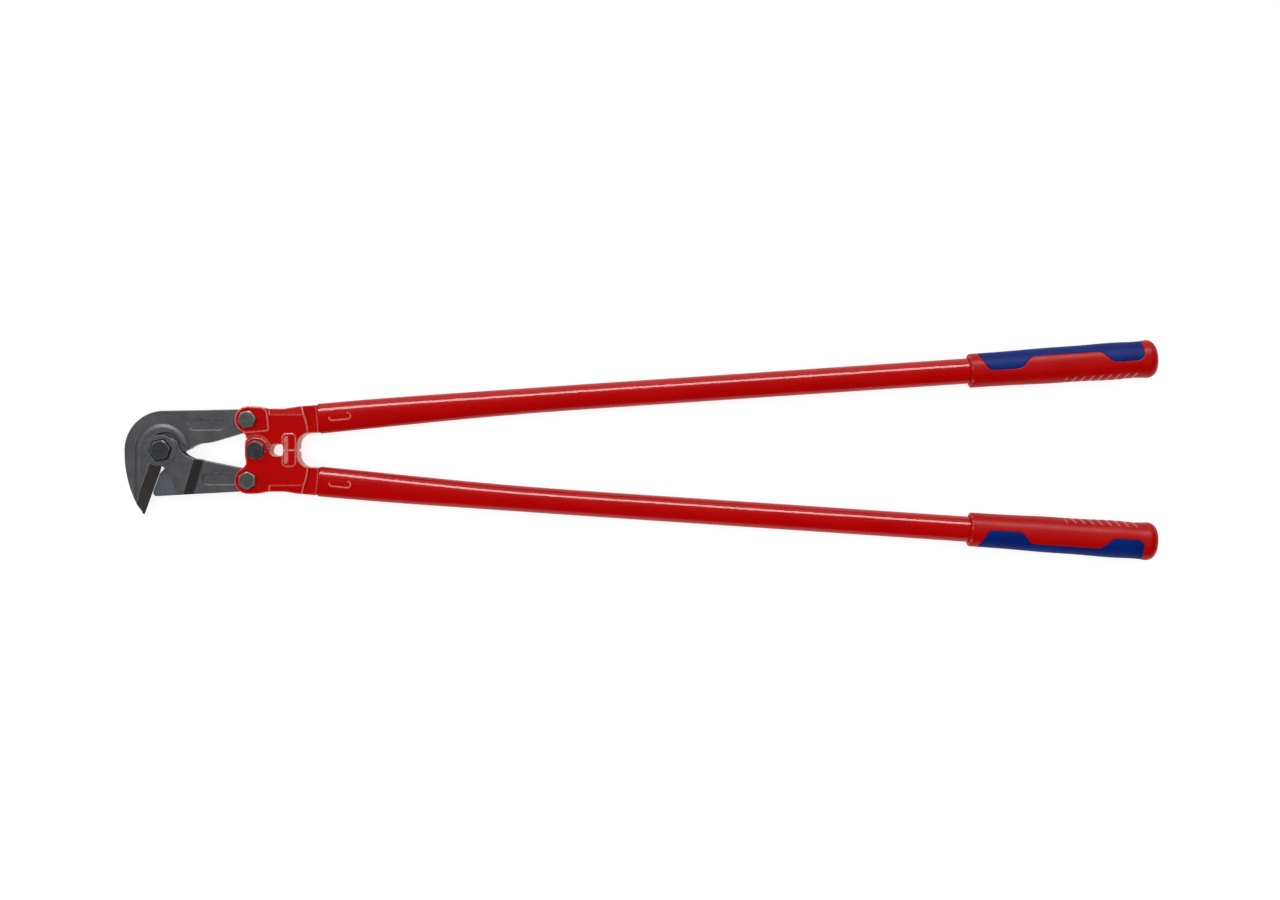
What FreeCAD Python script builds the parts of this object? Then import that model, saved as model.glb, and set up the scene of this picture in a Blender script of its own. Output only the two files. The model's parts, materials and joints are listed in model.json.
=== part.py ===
# Hand-operated cutter for reinforcing bar and steel mesh, 950 mm long, lying flat on its back.
# Millimetres. +X runs from the cutting head to the grips, +Z points up, and the origin is at the
# middle of the surface that the tool lies on. The upper handle is the one at +Y.
# Every piece is modelled about the tool's mid-plane and is lifted to its height when it is saved.
import FreeCAD, Part
import math
import os

# ---- overall ----
MID_HEIGHT = 17.5            # mid-plane above the resting surface
GAP = 0.15                   # half of the play between two faces that pass each other

# ---- pivots (x, y) ----
BLADE_PIVOT = (-441.0, 0.0)
HANDLE_PIVOT = (-353.0, 0.0)
LINK_PIVOT = (-360.3, 27.9)  # upper one; the lower one is its mirror image
LINK_IN_BLADE = (LINK_PIVOT[0] - BLADE_PIVOT[0], LINK_PIVOT[1])

# ---- blades, in the blade pivot's own coordinates ----
TAIL_HALF = 6.0              # half thickness of the hooked blade's back and of both tails
TONGUE_HALF = 4.0            # hooked blade where it lies between the other blade's cheeks
PLATEAU_HALF = 7.4           # hooked blade round its pivot and down its beak
PLATEAU_CENTRE = (1.0, 0.0)
PLATEAU_RADIUS = 24.5        # at the foot of the plateau's sloped side
PLATEAU_SLOPE = 3.5          # width of that sloped side
HEAD_HALF = 8.5              # counter blade at its head
BOSS_HALF = 9.0
BOSS_RADIUS = 14.0
SEAT_RADIUS = 14.4           # round seat for the boss in the hooked blade
TONGUE_SLOT_RADIUS = 15.5
TAIL_END_RADIUS = 9.8
PIVOT_BORE = 8.05
EDGE_TOP = (-1.9, -17.9)
EDGE_TIP = (-16.8, -59.0)
EDGE_LAND = 0.15             # half thickness left along the cutting edge
FLANK_WIDTH = 9.8            # width of the hook's ground flank where it meets the plateau
STEP_FOOT = (21.0, -39.1)    # counter blade: upper line of the slope from its head down to its tail
STEP_ANGLE = 73.1
STEP_WIDTH = 8.6
HOLLOW_SLOPE = 6.0 / 16.5    # rise of the counter blade's ground face from its edge
WHEEL_CENTRE = (-13.5, -38.3)
WHEEL_RADIUS = 27.3          # round mark that the grinding wheel leaves at the end of that face
BADGE_SIZE = (33.0, 10.6)    # blank rounded badge sunk in each tail
BADGE_DEPTH = 0.4

# ---- forks ----
FORK_HALF = 11.0
SLOT_HALF = 6.2
CHEEK_RADIUS = 12.3
SLOT_RADIUS = 12.6
BOSS_LAP_RADIUS = 11.4       # round boss of each fork at the handle pivot, at its face
BOSS_FOOT_RADIUS = 13.2      # and below its groove
BOSS_GROOVE = 1.2            # depth of the groove
BOSS_TRIM = 10.2             # the boss is cut straight on the side of the blades
LAP_RECESS_RADIUS = 13.5     # recess in the other fork around that boss
FLAG_HEIGHT = 0.6
PAD_HEIGHT = 0.7
BAR_HEIGHT = 1.6
NECK_HALF = 8.8
NECK_RADIUS = 46.5           # curved step down to the neck, at the fork's face
NECK_STEP = 1.8              # width of that step
RELIEF_LEFT = -340.4         # relief hole between the two forks
RELIEF_RIGHT = -328.2
RELIEF_HALF = 5.3
TANG_LENGTH = 30.0

# ---- handles ----
TUBE_MOUTH = (-296.8, 28.9)
MOUTH_SLOPE = 5.55           # degrees, tube axis against X at the fork
HANDLE_SLOPE = 3.85          # and after the gentle bend
BEND_END_X = -40.0
BEND_RUNS = 10
TUBE_WALL = 2.0
TUBE_RADIUS = 11.75
TUBE_OVAL = [(0.0, 27.8, 19.0), (45.0, 27.2, 19.8), (95.0, 25.9, 21.3),
             (145.0, 24.5, 22.8), (190.0, 23.7, 23.4), (225.0, 23.5, 23.5)]  # along, height, depth
TUBE_END = 467.0             # along the straight axis from x = 0

# ---- grips, along the straight handle axis from their mouth ----
GRIP_MOUTH = 302.6
GRIP_END = 172.8
GRIP_PROFILE = [(5.0, 15.7), (28.0, 15.75), (48.0, 16.1), (68.0, 16.55), (103.0, 16.65),
                (122.0, 17.1), (140.0, 17.1), (153.5, 16.75), (163.0, 17.45)]
GRIP_LIP = 1.75
INLAY_DEPTH = 2.0
RIB_COUNT = 9
RIB_PITCH = 8.0
RIB_START = 88.0
RIB_RADIUS = 1.3

# ---- bolts ----
LINK_BOLT = 5.0
HANDLE_BOLT = 6.0
HANDLE_BUSH = 8.0
BLADE_BOLT = 6.0
LINK_HEAD_FLATS = 14.8
HANDLE_HEAD_FLATS = 15.4
BLADE_HEAD_FLATS = 17.0
BLADE_NUT_END = -16.1
BOLT_RECESS = 0.4            # bolt ends lie this far inside their nuts
BLADE_POCKET_FLATS = 19.6
BLADE_POCKET_DEPTH = 2.3
BLADE_BOLT_TURN = 9.8        # degrees, one corner of the head against X
HEAD_HEIGHT = 5.6
WASHER_THICK = 1.1
CHAMFER_SLOPE = 1.7          # sideways run of a head's chamfer for each millimetre of height
RUNNING_FIT = 0.05


def point(x, y, z=0.0):
    return FreeCAD.Vector(x, y, z)


def rounded_outline(corners):
    """Closed wire through (x, y, radius) corners; a corner with a radius becomes an arc."""
    stops = []
    for index, (x, y, radius) in enumerate(corners):
        here = point(x, y)
        before = (point(*corners[index - 1][:2]) - here).normalize()
        after = (point(*corners[(index + 1) % len(corners)][:2]) - here).normalize()
        if not radius:
            stops.append((here, here, here))
            continue
        half_angle = before.getAngle(after) / 2
        reach = radius / math.tan(half_angle)
        inward = (before + after).normalize() * (radius / math.sin(half_angle) - radius)
        stops.append((here + before * reach, here + inward, here + after * reach))
    edges = []
    for index, (start, middle, end) in enumerate(stops):
        if (end - start).Length > 1e-6:
            edges.append(Part.Arc(start, middle, end).toShape())
        following = stops[(index + 1) % len(stops)][0]
        if (following - end).Length > 1e-6:
            edges.append(Part.makeLine(end, following))
    return Part.Wire(edges)


def arc_outline(start, steps):
    """Closed wire from a start point: (x, y) is a straight run, ((x, y), (x, y)) an arc through."""
    edges = []
    here = point(*start)
    for step in steps:
        if isinstance(step[0], tuple):
            end = point(*step[1])
            edges.append(Part.Arc(here, point(*step[0]), end).toShape())
        else:
            end = point(*step)
            edges.append(Part.makeLine(here, end))
        here = end
    edges.append(Part.makeLine(here, point(*start)))
    return Part.Wire(edges)


def plate(wire, low, high):
    face = Part.Face(wire)
    face.translate(point(0, 0, low))
    return face.extrude(point(0, 0, high - low))


def cylinder(centre, radius, low, high):
    return Part.makeCylinder(radius, high - low, point(centre[0], centre[1], low))


def hexagon(centre, flats, low, high, turn):
    """Hexagonal prism with one corner turned by the given angle from +X."""
    reach = flats / math.sqrt(3)
    corners = []
    for index in range(6):
        angle = math.radians(turn + 60 * index)
        corners.append((centre[0] + reach * math.cos(angle), centre[1] + reach * math.sin(angle), 0))
    return plate(rounded_outline(corners), low, high)


def both_faces(solid):
    """The solid and its mirror image about the mid-plane."""
    return [solid, solid.mirror(point(0, 0, 0), point(0, 0, 1))]


def run_section(start, angle, section, length):
    """Prism: a (side, z) section swept along a direction in the plane; +side is to its left."""
    wire = Part.makePolygon([point(0, side, z) for side, z in section + section[:1]])
    prism = Part.Face(wire).extrude(point(length, 0, 0))
    prism.rotate(point(0, 0), point(0, 0, 1), angle)
    prism.translate(point(start[0], start[1]))
    return prism


def behind(place, angle, lead):
    """The place moved back along a direction, so that a prism starts clear of the piece."""
    turn = math.radians(angle)
    return place[0] - lead * math.cos(turn), place[1] - lead * math.sin(turn)


def on_blade_pivot(solid):
    solid.translate(point(BLADE_PIVOT[0], BLADE_PIVOT[1]))
    return solid


def turned_over(solid):
    """The same piece turned over about the tool's long axis, for the other handle."""
    turned = solid.copy()
    turned.rotate(point(0, 0, 0), point(1, 0, 0), 180)
    return turned


def mirrored(solid):
    return solid.mirror(point(0, 0, 0), point(0, 1, 0))


def save(name, solid):
    piece = solid.copy()
    piece.translate(point(0, 0, MID_HEIGHT))
    piece.exportStep(f"parts/{name}.step")


# ---------------------------------------------------------------- blades

EDGE_ANGLE = math.degrees(math.atan2(EDGE_TOP[1] - EDGE_TIP[1], EDGE_TOP[0] - EDGE_TIP[0]))
EDGE_LENGTH = math.dist(EDGE_TOP, EDGE_TIP)


def beside_edge(y):
    """Point at the given height on the counter blade's edge, just clear of the hook's edge."""
    slope = (EDGE_TOP[0] - EDGE_TIP[0]) / (EDGE_TOP[1] - EDGE_TIP[1])
    return EDGE_TOP[0] + (y - EDGE_TOP[1]) * slope + 2 * GAP + 0.05, y


def badge(centre):
    """Sunk blank badges on both faces of a tail."""
    half_length = BADGE_SIZE[0] / 2
    half_width = BADGE_SIZE[1] / 2
    corner = half_width - 0.1
    corners = [(-half_length, -half_width, corner), (half_length, -half_width, corner),
               (half_length, half_width, corner), (-half_length, half_width, corner)]
    sunk = plate(rounded_outline(corners), TAIL_HALF - BADGE_DEPTH, TAIL_HALF + 1)
    sunk.translate(point(*centre))
    return both_faces(sunk)


def hook_plateau(top):
    """Thicker middle of the hook: a disc round the pivot that runs on down the beak, with sloped sides."""
    high = top - TAIL_HALF
    run = high * PLATEAU_SLOPE / (PLATEAU_HALF - TAIL_HALF)
    disc = Part.makeCone(PLATEAU_RADIUS, PLATEAU_RADIUS - run, high, point(*PLATEAU_CENTRE, TAIL_HALF))
    upper_side = plate(rounded_outline([(-40, 0, 0), (40, 0, 0), (40, 40, 0), (-40, 40, 0)]), 0, top + 1)
    beak = run_section((PLATEAU_CENTRE[0] - PLATEAU_RADIUS, 0.0), -90.0,
                       [(0, TAIL_HALF), (run, top), (60, top), (60, TAIL_HALF)], 70)
    return disc.common(upper_side).fuse(beak)


def hook_blade():
    link_x, link_y = LINK_IN_BLADE
    outline = arc_outline((link_x - 0.8, link_y + TAIL_END_RADIUS), [
        (4.0, 36.3),
        ((-23.6, 25.4), (-34.0, -2.0)),
        ((-30.2, -30.3), (-18.2, -57.6)),
        ((-17.6, -58.9), EDGE_TIP),
        EDGE_TOP,
        (-1.2, -14.8),
        ((8.6, -12.2), (14.2, -4.5)),
        (26.0, 1.4),
        ((31.0, 4.5), (37.5, 6.2)),
        ((44.6, 7.2), (51.5, 9.0)),
        (link_x + 3.0, link_y - 9.33),
        ((link_x + TAIL_END_RADIUS, link_y), (link_x - 0.8, link_y + TAIL_END_RADIUS - 0.03)),
    ])
    blade = plate(outline, -PLATEAU_HALF, PLATEAU_HALF)
    # The back of the hook and its tail are thinner than the plateau.
    high = PLATEAU_HALF + 1
    thin = plate(rounded_outline([(-50, -80, 0), (110, -80, 0), (110, 60, 0), (-50, 60, 0)]), TAIL_HALF, high)
    thin = thin.cut(hook_plateau(high))
    # Seat for the counter blade's cheeks, with room for its arm to swing, on both faces.
    seat = cylinder((0, 0), SEAT_RADIUS, TONGUE_HALF, HEAD_HALF)
    arm_room = plate(arc_outline((-10.0, 7.0), [
        ((1.5, 16.4), (13.6, 13.5)),
        ((19.0, 7.4), (25.9, 0.4)),
        (40.0, -8.0),
        (20.0, -30.0),
        (-2.2, -15.9),
        (-2.2, -13.0),
        (0.0, 0.0),
    ]), TONGUE_HALF, HEAD_HALF)
    # Ground flank: falls from the plateau to the cutting edge, and stops short of the pivot eye.
    rise = (PLATEAU_HALF - EDGE_LAND) / FLANK_WIDTH
    reach = FLANK_WIDTH * 1.4
    lead = 8.0
    flank = run_section(behind(EDGE_TIP, EDGE_ANGLE, lead), EDGE_ANGLE,
                        [(0, EDGE_LAND), (reach, EDGE_LAND + rise * reach), (reach, 14), (-12, 14),
                         (-12, EDGE_LAND)], EDGE_LENGTH + 2 * lead)
    flank = flank.cut(cylinder((0, 0), TONGUE_SLOT_RADIUS, -1, 15))
    cutters = both_faces(thin) + both_faces(seat) + both_faces(arm_room) + both_faces(flank)
    cutters += badge((41.5, 23.5))
    cutters.append(cylinder((0, 0), PIVOT_BORE, -10, 10))
    # The hole for the link bolt is wide: this is the joint where the linkage is left open.
    cutters.append(cylinder(LINK_IN_BLADE, LINK_BOLT + 1.9, -10, 10))
    return on_blade_pivot(blade.cut(cutters))


def counter_blade():
    link_x, link_y = LINK_IN_BLADE[0], -LINK_IN_BLADE[1]
    edge_high = beside_edge(-21.0)
    edge_low = beside_edge(-38.4)
    body = arc_outline(edge_high, [
        edge_low,
        ((edge_low[0] + 0.8, -41.5), (-6.1, -42.5)),
        (link_x + 0.6, link_y - TAIL_END_RADIUS),
        ((link_x + TAIL_END_RADIUS, link_y), (link_x + 2.0, link_y + 9.59)),
        (40.0, -9.8),
        ((34.0, -8.3), (29.2, -7.9)),
        (24.3, -5.6),
        ((19.8, -2.0), (16.6, 3.6)),
        ((14.9, 7.9), (11.2, 10.6)),
        (3.0, 13.6),
        (-13.0, 2.0),
        (-12.0, -7.0),
        ((-8.0, -11.6), (-2.0, -13.9)),
        (3.2, -15.6),
    ])
    blade = plate(body, -HEAD_HALF, HEAD_HALF)
    blade = blade.fuse(cylinder((0, 0), BOSS_RADIUS, -BOSS_HALF, BOSS_HALF))
    # Slot between the two cheeks, for the hooked blade's tongue and its sweep.
    slot_half = TONGUE_HALF + GAP
    tongue_slot = cylinder((0, 0), TONGUE_SLOT_RADIUS, -slot_half, slot_half)
    sweep_room = plate(rounded_outline([(-40, -8, 0), (2, -15.3, 0), (12.2, -9.7, 2), (27.0, -10.4, 0),
                                        (31.0, -7.5, 0), (31.0, 40, 0), (-40, 40, 0)]),
                       -slot_half, slot_half)
    # The tail is thinner than the head, with a sloped step between them.
    step = run_section(behind(STEP_FOOT, STEP_ANGLE, 20.6), STEP_ANGLE,
                       [(0, HEAD_HALF + 0.05), (-STEP_WIDTH, TAIL_HALF), (-90, TAIL_HALF), (-90, 14), (0, 14)],
                       120)
    # Hollow-ground face that ends at a round wheel mark.
    hollow = run_section(behind(edge_low, EDGE_ANGLE, 15.0), EDGE_ANGLE,
                         [(4, EDGE_LAND), (0, EDGE_LAND), (-40, EDGE_LAND + 40 * HOLLOW_SLOPE), (-40, 20),
                          (4, 20)], 70)
    hollow = hollow.common(cylinder(WHEEL_CENTRE, WHEEL_RADIUS, 0, 30))
    hollow = hollow.cut(cylinder((0, 0), BOSS_RADIUS + 0.6, -1, 31))
    pocket = hexagon((0, 0), BLADE_POCKET_FLATS, BOSS_HALF - BLADE_POCKET_DEPTH, BOSS_HALF + 2,
                     BLADE_BOLT_TURN)
    cutters = [tongue_slot, sweep_room] + both_faces(step) + both_faces(hollow)
    cutters += badge((54.0, -26.6))
    cutters.append(pocket)
    cutters.append(cylinder((0, 0), BLADE_BOLT + RUNNING_FIT, -12, 12))
    cutters.append(cylinder((link_x, link_y), LINK_BOLT + RUNNING_FIT, -10, 10))
    return on_blade_pivot(blade.cut(cutters))


# ---------------------------------------------------------------- forks

def tube_arc_point(along):
    """Point and slope on the bent tube axis, measured along it from the tube's mouth."""
    bend = math.radians(MOUTH_SLOPE - HANDLE_SLOPE)
    radius = (BEND_END_X - TUBE_MOUTH[0]) / (math.sin(math.radians(MOUTH_SLOPE))
                                             - math.sin(math.radians(HANDLE_SLOPE)))
    turn = along / radius
    start = math.radians(MOUTH_SLOPE)
    now = start - turn
    x = TUBE_MOUTH[0] + radius * (math.sin(start) - math.sin(now))
    y = TUBE_MOUTH[1] + radius * (math.cos(now) - math.cos(start))
    return x, y, math.degrees(now), radius * bend


def oval_wire(along, half_height, half_depth):
    """Ellipse across the tube's axis."""
    x, y, slope, _ = tube_arc_point(along)
    ring = Part.Ellipse(point(0, 0), half_height, half_depth).toShape()
    wire = Part.Wire([ring])
    wire.rotate(point(0, 0), point(0, 0, 1), 90)
    wire.rotate(point(0, 0), point(0, 1, 0), 90)
    wire.rotate(point(0, 0), point(0, 0, 1), slope)
    wire.translate(point(x, y))
    return wire


def fork():
    """The upper handle's fork, about the mid-plane."""
    hx = HANDLE_PIVOT[0]
    ax, ay = LINK_PIVOT
    web = rounded_outline([
        (hx - 9.2, GAP, 0), (hx - 9.2, 13.5, 4), (ax - 7.4, 19.0, 0), (ax, ay + CHEEK_RADIUS - 0.05, 0),
        (-352.0, 40.1, 12), (-342.0, 38.2, 12), (-327.0, 38.2, 15), (-315.5, 40.1, 12),
        (-298.2, 41.6, 0), (-295.8, 15.9, 0), (-315.2, 15.6, 11.5), (-315.2, 1.4, 0), (-317.2, GAP, 0)])
    solid = plate(web, -FORK_HALF, FORK_HALF)
    solid = solid.fuse(cylinder(LINK_PIVOT, CHEEK_RADIUS, -FORK_HALF, FORK_HALF))
    # Half-lap at the handle pivot: boss at the back, recess at the front.
    solid = solid.cut(cylinder(HANDLE_PIVOT, LAP_RECESS_RADIUS, -GAP, FORK_HALF + 5))
    boss = cylinder(HANDLE_PIVOT, BOSS_LAP_RADIUS, -FORK_HALF, -GAP)
    boss = boss.fuse(cylinder(HANDLE_PIVOT, BOSS_FOOT_RADIUS, -FORK_HALF + BOSS_GROOVE, -GAP))
    boss_room = plate(rounded_outline([(hx - BOSS_TRIM, -20, 0), (hx + 20, -20, 0), (hx + 20, 20, 0),
                                       (hx - BOSS_TRIM, 20, 0)]), -FORK_HALF - 1, 0)
    solid = solid.fuse(boss.common(boss_room))
    # Raised flag pad around the link bolt, on the front only.
    flag = plate(rounded_outline([(ax, ay + CHEEK_RADIUS - 0.6, 0), (-343.6, 38.6, 6),
                                  (-341.2, 17.9, 2.5), (ax, ay - CHEEK_RADIUS + 0.6, 0)]),
                 FORK_HALF - 0.2, FORK_HALF + FLAG_HEIGHT)
    flag = flag.fuse(cylinder(LINK_PIVOT, CHEEK_RADIUS - 0.6, FORK_HALF - 0.2, FORK_HALF + FLAG_HEIGHT))
    # Raised stop block with a rounded bar, on both faces.
    pad = plate(rounded_outline([(-328.9, GAP, 0), (-328.9, 15.0, 3.5), (-316.6, 15.0, 3.5),
                                 (-316.6, GAP, 0)]), FORK_HALF - 0.2, FORK_HALF + PAD_HEIGHT)
    bar = plate(rounded_outline([(-327.0, GAP, 0), (-327.0, 12.5, 1.7), (-323.4, 12.5, 1.7),
                                 (-323.4, GAP, 0)]), FORK_HALF - 0.2, FORK_HALF + BAR_HEIGHT)
    solid = solid.fuse([flag] + both_faces(pad) + both_faces(bar))
    # The outer flank falls away from the plateau, and the neck is thinner than the head.
    flank = run_section((-340.6, 32.4), 0.0, [(0, FORK_HALF), (12, FORK_HALF - 3.2), (12, FORK_HALF + 0.4),
                                              (0, FORK_HALF + 0.4)], 52)
    step_slope = NECK_STEP / (FORK_HALF - NECK_HALF)
    neck_high = 7.0
    neck_face = Part.makeCone(NECK_RADIUS + NECK_STEP, NECK_RADIUS + NECK_STEP - neck_high * step_slope,
                              neck_high, point(-352.0, 14.0, NECK_HALF))
    neck_room = plate(rounded_outline([(-312.0, -5, 0), (-290, -5, 0), (-290, 50, 0), (-312.0, 50, 0)]),
                      NECK_HALF, FORK_HALF + 5).cut(neck_face)
    # Slot for the blade's tail, open towards the blade's whole sweep.
    low, high = math.radians(289), math.radians(70)
    slot = rounded_outline([
        (ax + SLOT_RADIUS * math.cos(low), ay + SLOT_RADIUS * math.sin(low), 0),
        (ax + SLOT_RADIUS * math.cos(high), ay + SLOT_RADIUS * math.sin(high), 0),
        (ax + 5.0, ay + 40, 0), (ax - 60, ay + 40, 0), (ax - 60, ay - 34, 0)])
    cutters = [cylinder(LINK_PIVOT, SLOT_RADIUS, -SLOT_HALF, SLOT_HALF), plate(slot, -SLOT_HALF, SLOT_HALF)]
    cutters += both_faces(flank) + both_faces(neck_room)
    cutters.append(cylinder(LINK_PIVOT, LINK_BOLT + RUNNING_FIT, -15, 15))
    cutters.append(cylinder(HANDLE_PIVOT, HANDLE_BUSH + RUNNING_FIT, -15, 15))
    # Relief hole between the two forks, behind the boss.
    cutters.append(plate(rounded_outline([
        (RELIEF_LEFT, -RELIEF_HALF, RELIEF_HALF - 0.1), (RELIEF_RIGHT, -RELIEF_HALF, 1.8),
        (RELIEF_RIGHT, RELIEF_HALF, 1.8), (RELIEF_LEFT, RELIEF_HALF, RELIEF_HALF - 0.1)]), -15, 15))
    solid = solid.cut(cutters)
    # Oval tang inside the tube.
    rings = []
    for along in (-0.3, TANG_LENGTH / 2, TANG_LENGTH):
        half_height, half_depth = tube_half_size(along)
        rings.append(oval_wire(along, half_height - TUBE_WALL - 0.2, half_depth - TUBE_WALL - 0.2))
    tang = Part.makeLoft(rings, True, False)
    return solid.fuse(tang)


# ---------------------------------------------------------------- handles

def tube_half_size(along):
    """Half height and half depth of the oval tube, between the listed stations."""
    along = max(along, 0.0)
    for (start, high_a, deep_a), (end, high_b, deep_b) in zip(TUBE_OVAL, TUBE_OVAL[1:]):
        if along <= end:
            share = (along - start) / (end - start)
            return (high_a + (high_b - high_a) * share) / 2, (deep_a + (deep_b - deep_a) * share) / 2
    return TUBE_RADIUS, TUBE_RADIUS


def on_handle_axis(solid):
    """Moves a solid from the X axis to the straight part of the upper handle."""
    x, y, slope, _ = tube_arc_point(tube_arc_point(0)[3])
    solid.rotate(point(0, 0), point(0, 0, 1), slope)
    solid.translate(point(0, y - x * math.tan(math.radians(slope))))
    return solid


def tube_ring(along, wall):
    """Section across the tube, along the bend and then along the straight part."""
    bend_length = tube_arc_point(0)[3]
    half_height, half_depth = tube_half_size(along)
    # An ellipse needs a longer axis, so a round section is made longer by a hair.
    ring = oval_wire(min(along, bend_length), half_height - wall + 1e-4, half_depth - wall)
    beyond = max(along - bend_length, 0.0)
    slope = math.radians(HANDLE_SLOPE)
    ring.translate(point(beyond * math.cos(slope), beyond * math.sin(slope)))
    return ring


def tube():
    """Hollow tube: short straight runs along the gentle bend, then one long straight run."""
    bend_length = tube_arc_point(0)[3]
    straight_length = TUBE_END - BEND_END_X / math.cos(math.radians(HANDLE_SLOPE))
    stations = [bend_length * index / BEND_RUNS for index in range(BEND_RUNS + 1)]
    stations.append(bend_length + straight_length)
    outside, inside = [Part.makeLoft([tube_ring(along, wall) for along in stations], True, True)
                       for wall in (0.0, TUBE_WALL)]
    return outside.cut(inside)


def grip_body(inset):
    """Turned body of the grip, smaller by the inset all round."""
    outer = Part.BSplineCurve()
    outer.interpolate([point(GRIP_MOUTH + along, radius - inset) for along, radius in GRIP_PROFILE])
    first = point(GRIP_MOUTH + GRIP_PROFILE[0][0], GRIP_PROFILE[0][1] - inset)
    last = point(GRIP_MOUTH + GRIP_PROFILE[-1][0], GRIP_PROFILE[-1][1] - inset)
    lip_top = point(GRIP_MOUTH + GRIP_LIP, GRIP_PROFILE[0][1] - inset)
    lip_front = point(GRIP_MOUTH, GRIP_PROFILE[0][1] - GRIP_LIP - inset)
    lip_low = point(GRIP_MOUTH + GRIP_LIP, GRIP_PROFILE[0][1] - 2 * GRIP_LIP - inset)
    end = GRIP_MOUTH + GRIP_END - inset
    edges = [Part.Arc(lip_low, lip_front, lip_top).toShape(), Part.makeLine(lip_top, first),
             outer.toShape(), Part.Arc(last, point(end - 2.4, last.y - 2.6), point(end, last.y - 8)).toShape(),
             Part.makeLine(point(end, last.y - 8), point(end, 0)),
             Part.makeLine(point(end, 0), point(GRIP_MOUTH + GRIP_LIP, 0)),
             Part.makeLine(point(GRIP_MOUTH + GRIP_LIP, 0), lip_low)]
    return Part.Face(Part.Wire(edges)).revolve(point(0, 0), point(1, 0, 0), 360)


def grip_pieces():
    """Hard shell and soft inlay of the upper grip, along the handle axis."""
    body = grip_body(0.0)
    core = grip_body(INLAY_DEPTH)
    m = GRIP_MOUTH
    window = plate(rounded_outline([
        (m + 7.5, 22, 0), (m + 9.0, 13.5, 0), (m + 17.5, -1.2, 6), (m + 47, -1.2, 9), (m + 56, 9.2, 9),
        (m + 120, 9.2, 10), (m + 130.5, -1.2, 8), (m + 158.8, -1.2, 7), (m + 158.8, 22, 0)]), -25, 25)
    inlay = body.cut(core).common(window)
    shell = body.cut(inlay)
    shell = shell.cut(Part.makeCylinder(TUBE_RADIUS + RUNNING_FIT, TUBE_END - m + 1.0, point(m - 1, 0, 0),
                                        point(1, 0, 0)))
    ribs = []
    for index in range(RIB_COUNT):
        groove = Part.makeCylinder(RIB_RADIUS, 34, point(0, 0, -17), point(0, 0, 1))
        groove.rotate(point(0, 0), point(0, 1, 0), 28)
        groove.translate(point(m + RIB_START + RIB_PITCH * index, -17.0, 0))
        ribs.append(groove)
    shell = shell.cut(ribs)
    return on_handle_axis(shell), on_handle_axis(inlay)


def tube_plug():
    plug = Part.makeCylinder(TUBE_RADIUS - TUBE_WALL - RUNNING_FIT, 14, point(TUBE_END - 14.5, 0, 0),
                             point(1, 0, 0))
    hollow = Part.makeCylinder(7.0, 12, point(TUBE_END - 15, 0, 0), point(1, 0, 0))
    return on_handle_axis(plug.cut(hollow))


# ---------------------------------------------------------------- bolts

def hex_bolt(centre, seat, flats, shank, end, turn, head=HEAD_HEIGHT):
    """Bolt with its head on top, chamfered like a forged one."""
    block = hexagon(centre, flats, seat, seat + head, turn)
    rim = flats / 2 - 0.2
    crown = Part.makeCone(rim + head * CHAMFER_SLOPE, rim, head, point(centre[0], centre[1], seat))
    return block.common(crown).fuse(cylinder(centre, shank, end, seat + 0.5))


def washer(centre, outer, bore, top):
    return cylinder(centre, outer, top - WASHER_THICK, top).cut(
        cylinder(centre, bore + 0.1, top - WASHER_THICK - 1, top + 1))


def nut(centre, flats, bore, top, height, turn):
    block = hexagon(centre, flats, top - height, top, turn)
    rim = flats / 2 + 0.1
    crown = Part.makeCone(rim, rim + height * CHAMFER_SLOPE, height, point(centre[0], centre[1], top - height))
    return block.common(crown).cut(cylinder(centre, bore, top - height - 1, top + 1))


def bolt_set(name, centre, front, back, shank, flats, turn, nut_end=-MID_HEIGHT):
    """Bolt, washer and nut through one pivot, from the front seat to the nut's outer face."""
    save(f"{name}_bolt", hex_bolt(centre, front, flats, shank, nut_end + BOLT_RECESS, turn))
    save(f"{name}_washer", washer(centre, flats / 2 + 1.2, shank, back))
    seat = back - WASHER_THICK
    save(f"{name}_nut", nut(centre, flats + 0.2, shank, seat, seat - nut_end, turn + 17))


# ---------------------------------------------------------------- assembly

os.makedirs("parts", exist_ok=True)

save("hook_blade", hook_blade())
save("counter_blade", counter_blade())
pivot_bush = cylinder(BLADE_PIVOT, PIVOT_BORE - RUNNING_FIT, -TONGUE_HALF, TONGUE_HALF)
save("blade_pivot_bush", pivot_bush.cut(cylinder(BLADE_PIVOT, BLADE_BOLT + RUNNING_FIT, -10, 10)))
bolt_set("blade_pivot", BLADE_PIVOT, BOSS_HALF - BLADE_POCKET_DEPTH, -BOSS_HALF, BLADE_BOLT,
         BLADE_HEAD_FLATS, BLADE_BOLT_TURN, BLADE_NUT_END)

upper_fork = fork()
save("upper_fork", upper_fork)
save("lower_fork", turned_over(upper_fork))
handle_bush = cylinder(HANDLE_PIVOT, HANDLE_BUSH, -FORK_HALF + 0.1, FORK_HALF - 0.1)
save("handle_pivot_bush", handle_bush.cut(cylinder(HANDLE_PIVOT, HANDLE_BOLT + RUNNING_FIT, -20, 20)))
bolt_set("handle_pivot", HANDLE_PIVOT, FORK_HALF, -FORK_HALF, HANDLE_BOLT, HANDLE_HEAD_FLATS, 32.0)
lower_link = (LINK_PIVOT[0], -LINK_PIVOT[1])
bolt_set("upper_link", LINK_PIVOT, FORK_HALF + FLAG_HEIGHT, -FORK_HALF, LINK_BOLT, LINK_HEAD_FLATS, 10.2)
bolt_set("lower_link", lower_link, FORK_HALF, -FORK_HALF - FLAG_HEIGHT, LINK_BOLT, LINK_HEAD_FLATS, 30.0)

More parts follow.
